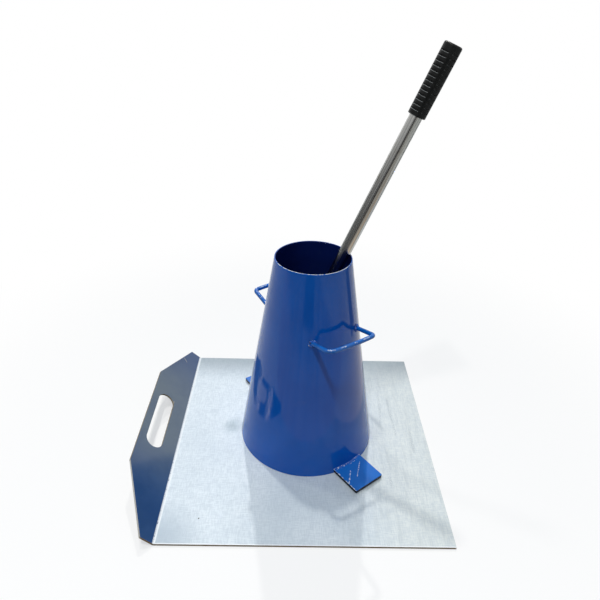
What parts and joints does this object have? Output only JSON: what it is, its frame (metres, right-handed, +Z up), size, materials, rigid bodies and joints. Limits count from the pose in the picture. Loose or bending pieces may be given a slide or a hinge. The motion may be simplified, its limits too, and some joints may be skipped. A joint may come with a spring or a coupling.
{
  "type": "slump cone",
  "caption": "Open steel slump-test cone with side handles and foot plates, standing on a sheet base plate with a slotted carry flap; a tamping rod with a ribbed grip leans in it.",
  "frame": {"origin": "on the underside of the base plate, on the cone's upright axis", "axes": "+Z up along the cone's axis; +X away from the carry flap, parallel to the plate's sides; +Y to the back of the plate"},
  "size_m": [0.4323, 0.39, 0.5639],
  "materials": {
    "galvanised_sheet": "satin galvanised sheet with a fine cross grain; the bent-up flap is painted blue",
    "blue_paint": "glossy blue enamel",
    "bright_steel": "bright drawn bar",
    "black_grip": "satin black moulding"
  },
  "bodies": {
    "base": {"base_plate": "galvanised_sheet"},
    "cone": {"cone_shell": "blue_paint", "cone_seam": "blue_paint", "handles": "blue_paint", "foot_right": "blue_paint", "foot_left": "blue_paint", "foot_weld_right": "blue_paint", "foot_weld_left": "blue_paint"},
    "rod": {"tamping_rod": "bright_steel", "rod_grip": "black_grip"}
  },
  "joints": [
    {"name": "cone_lift", "type": "slide", "parent": "base", "child": "cone", "axis": [0, 0, 1], "range_m": [0, 0.35]},
    {"name": "rod_draw", "type": "slide", "parent": "cone", "child": "rod", "axis": [0.3738, 0, 0.9275], "range_m": [0, 0.34]}
  ]
}
